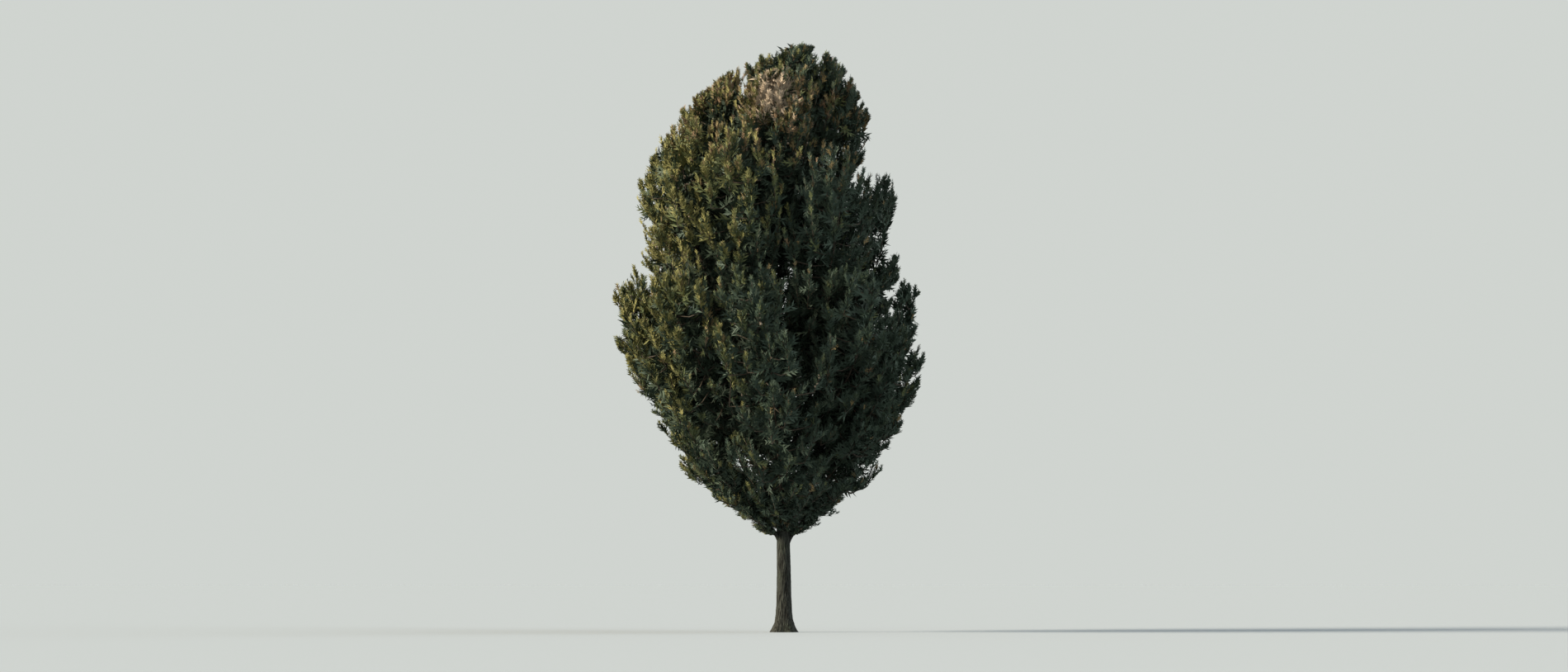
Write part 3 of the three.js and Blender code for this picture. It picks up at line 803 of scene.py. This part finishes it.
def deal_tones(roots, up_tuft, tuft_chance, growth):
    """Gives each spray its colour's number: by how deep it stands, its tuft, and the crown's side.

    The left is in the sun, most of all high up and in front. Bronze and russet gather in two zones
    near the top, dry sprays in one patch between them, and whatever stands deep is in shade.
    """
    count = len(roots)
    x, y, z = roots.T
    lean = SUNNY_EDGE["lean"] * risen(z, SUNNY_EDGE)
    side = np.clip((SUNNY_EDGE["low"] + lean - x) / SUNNY_EDGE["width"], -1, 1)
    sunny = np.maximum(risen(z, SUNNY_HEIGHT), SUNNY_HEIGHT["least"])
    sunny *= np.clip(1 - SUNNY_FRONT["fall"] * y, SUNNY_FRONT["least"], 1)
    crest = risen(z, CREST)
    light = LIGHT_MIDDLE + TUFT_LIGHT * (tuft_chance - 0.5) + TIP_LIGHT * (up_tuft - 0.5)
    light += np.where(side > 0, SUNNY_LIGHT * side * sunny, SHADY_LIGHT * side) - CREST["shade"] * crest
    light += growth.uniform(-SPRAY_LIGHT, SPRAY_LIGHT, count)
    tone = np.full(count, TONE["leaf_deep"])
    tone[light < BLUE_BELOW] = TONE["leaf_blue"]
    for name, step in TONE_STEPS.items():
        tone[light > step] = TONE[name]
    warm = sum(
        zone["strength"] * np.exp(-((x - zone["x"]) ** 2 + (z - zone["z"]) ** 2) / zone["spread"])
        for zone in WARM_ZONES
    )
    warm *= 1 - CREST["cool"] * crest
    tone[growth.random(count) < BRONZE_SHARE[0] + BRONZE_SHARE[1] * warm] = TONE["leaf_bronze"]
    tone[growth.random(count) < RUSSET_SHARE[0] + RUSSET_SHARE[1] * warm] = TONE["leaf_russet"]
    across_patch = (x - DRY_PATCH["x"]) ** 2 / DRY_PATCH["wide"]
    up_patch = (z - DRY_PATCH["z"]) ** 2 / DRY_PATCH["high"]
    dry = DRY_PATCH["strength"] * np.exp(-across_patch - up_patch) * (y < 0)
    tone[growth.random(count) < dry] = TONE["leaf_dry"]
    tone[crown_radius(z) - out_of_line(roots) > SHADE_DEPTH] = TONE["leaf_shade"]
    return tone


def outer_sprays(owner, growth):
    """The live sprays on a plume's tufts and side shoots, longest at the foot of each."""
    tufts, shoots = tufts_of[owner], shoots_of[owner]
    middles = (shoots[:, 0] + shoots[:, 1]) / 2
    carriers = np.concatenate([tufts, np.stack([shoots[:, 0], middles, shoots[:, 1]], axis=1)])
    per_carrier = np.repeat([SPRAYS_PER_TUFT, SPRAYS_PER_SHOOT], [len(tufts), len(shoots)])
    carrier = np.repeat(np.arange(len(carriers)), per_carrier)
    first = np.repeat(np.cumsum(per_carrier) - per_carrier, per_carrier)
    count = len(carrier)
    up_tuft = (np.arange(count) - first + SPRAY_START) / per_carrier[carrier]
    lines = carriers[carrier].swapaxes(0, 1)
    roots = on_line(lines, up_tuft)
    turn_jitter = growth.uniform(-SPRAY_TURN_JITTER, SPRAY_TURN_JITTER, count)
    turn = 2 * math.pi * (np.arange(count) * GOLDEN_SHARE % 1) + turn_jitter
    spread = np.radians(SPRAY_SPREAD[0] + (SPRAY_SPREAD[1] - SPRAY_SPREAD[0]) * up_tuft)
    spread += np.radians(growth.uniform(-SPRAY_SPREAD_JITTER, SPRAY_SPREAD_JITTER, count))
    along, aside = turned_aside(along_line(lines, up_tuft), turn, spread, SPRAY_UPTURN)
    lengths = SPRAY_LENGTH * (SPRAY_FOOT_SIZE - SPRAY_TAPER * up_tuft)
    lengths *= growth.uniform(*SPRAY_CHANCE, count)
    lengths[carrier >= len(tufts)] *= SPRAY_ON_SHOOT
    margins = margins_of[owner][carrier] - SPRAY_OVER_MARGIN
    lengths, kept = cut_to_fit(owner, roots, along, lengths, margins, SPRAY_TRIES, SPRAY_SHORTEN)
    tones = deal_tones(roots, up_tuft, growth.random(len(carriers))[carrier], growth)
    facing = unit(aside + growth.normal(0, SPRAY_FACE_JITTER, (count, 3)))
    shapes = outer_shapes[growth.integers(0, SPRAY_KINDS, count)]
    return place_sprays(shapes[kept], roots[kept], along[kept], facing[kept], lengths[kept], tones[kept])


def inner_sprays(owner, growth):
    """Old shaded sprays on the stem, on the twigs that leave it and on the feet of the tufts."""
    links = np.repeat(links_of[owner], INNER_PER_TWIG, axis=0)
    tufts = np.repeat(tufts_of[owner], INNER_PER_TUFT, axis=0)
    stem = plumes[owner]["line"]
    roots = np.concatenate([
        on_line(links.swapaxes(0, 1), growth.uniform(*INNER_ON_TWIG_RANGE, len(links))),
        on_line(tufts.swapaxes(0, 1), growth.uniform(*INNER_ON_TUFT_RANGE, len(tufts))),
        on_line(stem, growth.uniform(*INNER_ON_STEM_RANGE, INNER_PER_STEM)),
    ])
    astray = unit(growth.normal(size=(len(tufts) + INNER_PER_STEM, 3)))
    outward = np.concatenate([unit(links[:, 2] - links[:, 0]), astray])
    count = len(roots)
    away = outward * growth.uniform(*INNER_OUTWARD, count)[:, None]
    away += growth.normal(0, INNER_STRAY, (count, 3))
    along = unit(away + [0, 0, INNER_UPTURN])
    lengths = INNER_LENGTH * growth.uniform(*INNER_CHANCE, count)
    lengths[len(links) : len(links) + len(tufts)] *= INNER_ON_TUFT
    lengths, kept = cut_to_fit(owner, roots, along, lengths, INNER_MARGIN, SPRAY_TRIES, SPRAY_SHORTEN)
    facing = unit(outward + growth.normal(0, INNER_FACE_JITTER, (count, 3)))
    shapes = inner_shapes[growth.integers(0, SPRAY_KINDS, count)]
    tones = deal_tones(roots, 0, growth.random(count) - INNER_SHADE, growth)
    tones[np.isin(tones, [TONE["leaf_bronze"], TONE["leaf_russet"]])] = TONE["leaf_mid"]
    return place_sprays(shapes[kept], roots[kept], along[kept], facing[kept], lengths[kept], tones[kept])


outer_shapes = np.array([spray_shape(growth, **OUTER_SPRAY) for _ in range(SPRAY_KINDS)])
inner_shapes = np.array([spray_shape(growth, **INNER_SPRAY) for _ in range(SPRAY_KINDS)])
leaf_finishes = [
    Finish(name, colour, LEAF_ROUGHNESS, LEAF_SPECULAR).material for name, colour in LEAF_TONES.items()
]
batches, faces_in_batch = [], MOST_FACES
for owner, plume in enumerate(plumes):
    grown = [outer_sprays(owner, growth), inner_sprays(owner, growth)]
    faces_grown = sum(len(faces) for _, faces, _ in grown)
    if faces_in_batch + faces_grown > MOST_FACES:
        batches.append(dict(parts=[], tones=[], plumes=[]))
        faces_in_batch = 0
    batches[-1]["parts"] += [(corners, faces) for corners, faces, _ in grown]
    batches[-1]["tones"] += [tones for _, _, tones in grown]
    batches[-1]["plumes"].append(f"plume_{plume['name']}")
    faces_in_batch += faces_grown
for number, batch in enumerate(batches, start=1):
    tones = np.concatenate(batch["tones"])
    leaves = joined_piece(f"leaves_{number}", batch["parts"], leaf_finishes, tones)
    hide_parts(*batch["plumes"])


# The fruit are round woody cones as big as a walnut, each with a knobbed shield on every facet.
# They sit in clusters on the older twigs, most of them near the top.
CONE_RADIUS = 0.021
CONE_BOSS = 0.3
CONE_CLUSTERS = 100
CONES_IN_CLUSTER = 5
CONE_SPREAD = 0.03
CONE_SPREAD_CHANCE = (0.5, 1)
CONE_PATCH = np.array([-0.2, -0.9, 9.75])
CONE_PATCH_SPREAD = 0.5
CONES_ELSEWHERE = 0.05
CONE_ON_TUFT = (0.1, 0.6)
CONE_CHANCE = (0.8, 1.15)
CONE_BROWN = (0.150, 0.120, 0.092, 1)
CONE_ROUGHNESS = 0.7

cone_blank = bmesh.new()
bmesh.ops.create_icosphere(cone_blank, subdivisions=1, radius=1)
bmesh.ops.poke(cone_blank, faces=cone_blank.faces, offset=CONE_BOSS)
cone_corners = np.array([corner.co for corner in cone_blank.verts])
cone_faces = np.array([[corner.index for corner in face.verts] for face in cone_blank.faces])
cone_blank.free()
all_tufts = np.concatenate(tufts_of)
from_patch = np.linalg.norm(all_tufts[:, 1] - CONE_PATCH, axis=-1)
near_top = np.exp(-(from_patch**2) / CONE_PATCH_SPREAD)
near_top += CONES_ELSEWHERE * all_tufts[:, 1, 2] / TREE_HEIGHT
bearing = growth.choice(len(all_tufts), CONE_CLUSTERS, replace=False, p=near_top / near_top.sum())
clusters = np.repeat(all_tufts[bearing], CONES_IN_CLUSTER, axis=0)
seats = on_line(clusters.swapaxes(0, 1), growth.uniform(*CONE_ON_TUFT, len(clusters)))
aside = CONE_SPREAD * unit(growth.normal(size=seats.shape))
seats += aside * growth.uniform(*CONE_SPREAD_CHANCE, (len(seats), 1))
cone_sizes = CONE_RADIUS * growth.uniform(*CONE_CHANCE, len(seats))
cone_parts = [(seat + size * cone_corners, cone_faces) for seat, size in zip(seats, cone_sizes)]
cones = joined_piece("cones", cone_parts, [Finish("cone_brown", CONE_BROWN, CONE_ROUGHNESS).material])


# The floor is a plain pale sheet, and the light a soft warm key from the left, a wide weak fill
# from the right and an even pale surround. The camera looks up slightly through a long lens, as
# the photograph does.
FLOOR_SIDE = 700
FLOOR_COLOUR = (0.234, 0.259, 0.282, 1)
SURROUND_COLOUR = (0.74, 0.775, 0.74, 1)
SURROUND_STRENGTH = 0.85
LAMPS = [
    dict(name="key", strength=13.0, width=26, colour=(1.0, 0.88, 0.70), runs=Vector((0.88, 0.26, -0.4))),
    dict(name="fill", strength=2.6, width=80, colour=(0.92, 0.97, 1.0), runs=Vector((-0.8, 0.05, -0.5))),
]
CAMERA_PLACE = Vector((0, -90, 1.1))
CAMERA_AIM = Vector((0, 0, 5.5))
PICTURE_SIZE = (1900, 814)
TREE_SHARE = 0.88
SENSOR_WIDTH = 36
FARTHEST = 2000

floor_blank = bmesh.new()
bmesh.ops.create_grid(floor_blank, x_segments=1, y_segments=1, size=FLOOR_SIDE / 2)
floor_mesh = bpy.data.meshes.new("floor")
floor_blank.to_mesh(floor_mesh)
floor_blank.free()
floor_mesh.materials.append(Finish("floor_pale", FLOOR_COLOUR, 1.0, 0.0).material)
floor = bpy.data.objects.new("floor", floor_mesh)
bpy.context.scene.collection.objects.link(floor)

world = bpy.data.worlds.new("surround")
world.use_nodes = True
world.node_tree.nodes["Background"].inputs["Color"].default_value = SURROUND_COLOUR
world.node_tree.nodes["Background"].inputs["Strength"].default_value = SURROUND_STRENGTH
bpy.context.scene.world = world

for lamp in LAMPS:
    light = bpy.data.lights.new(lamp["name"], "SUN")
    light.energy = lamp["strength"]
    light.angle = math.radians(lamp["width"])
    light.color = lamp["colour"]
    stand = bpy.data.objects.new(lamp["name"], light)
    stand.rotation_euler = lamp["runs"].to_track_quat("-Z", "Y").to_euler()
    bpy.context.scene.collection.objects.link(stand)

lens = bpy.data.cameras.new("camera")
lens.sensor_width = SENSOR_WIDTH
frame_height = SENSOR_WIDTH * PICTURE_SIZE[1] / PICTURE_SIZE[0]
lens.lens = frame_height * (CAMERA_AIM - CAMERA_PLACE).length * TREE_SHARE / TREE_HEIGHT
lens.clip_end = FARTHEST
camera = bpy.data.objects.new("camera", lens)
camera.location = CAMERA_PLACE
camera.rotation_euler = (CAMERA_AIM - CAMERA_PLACE).to_track_quat("-Z", "Y").to_euler()
bpy.context.scene.collection.objects.link(camera)
bpy.context.scene.camera = camera
bpy.context.scene.view_settings.view_transform = "Standard"
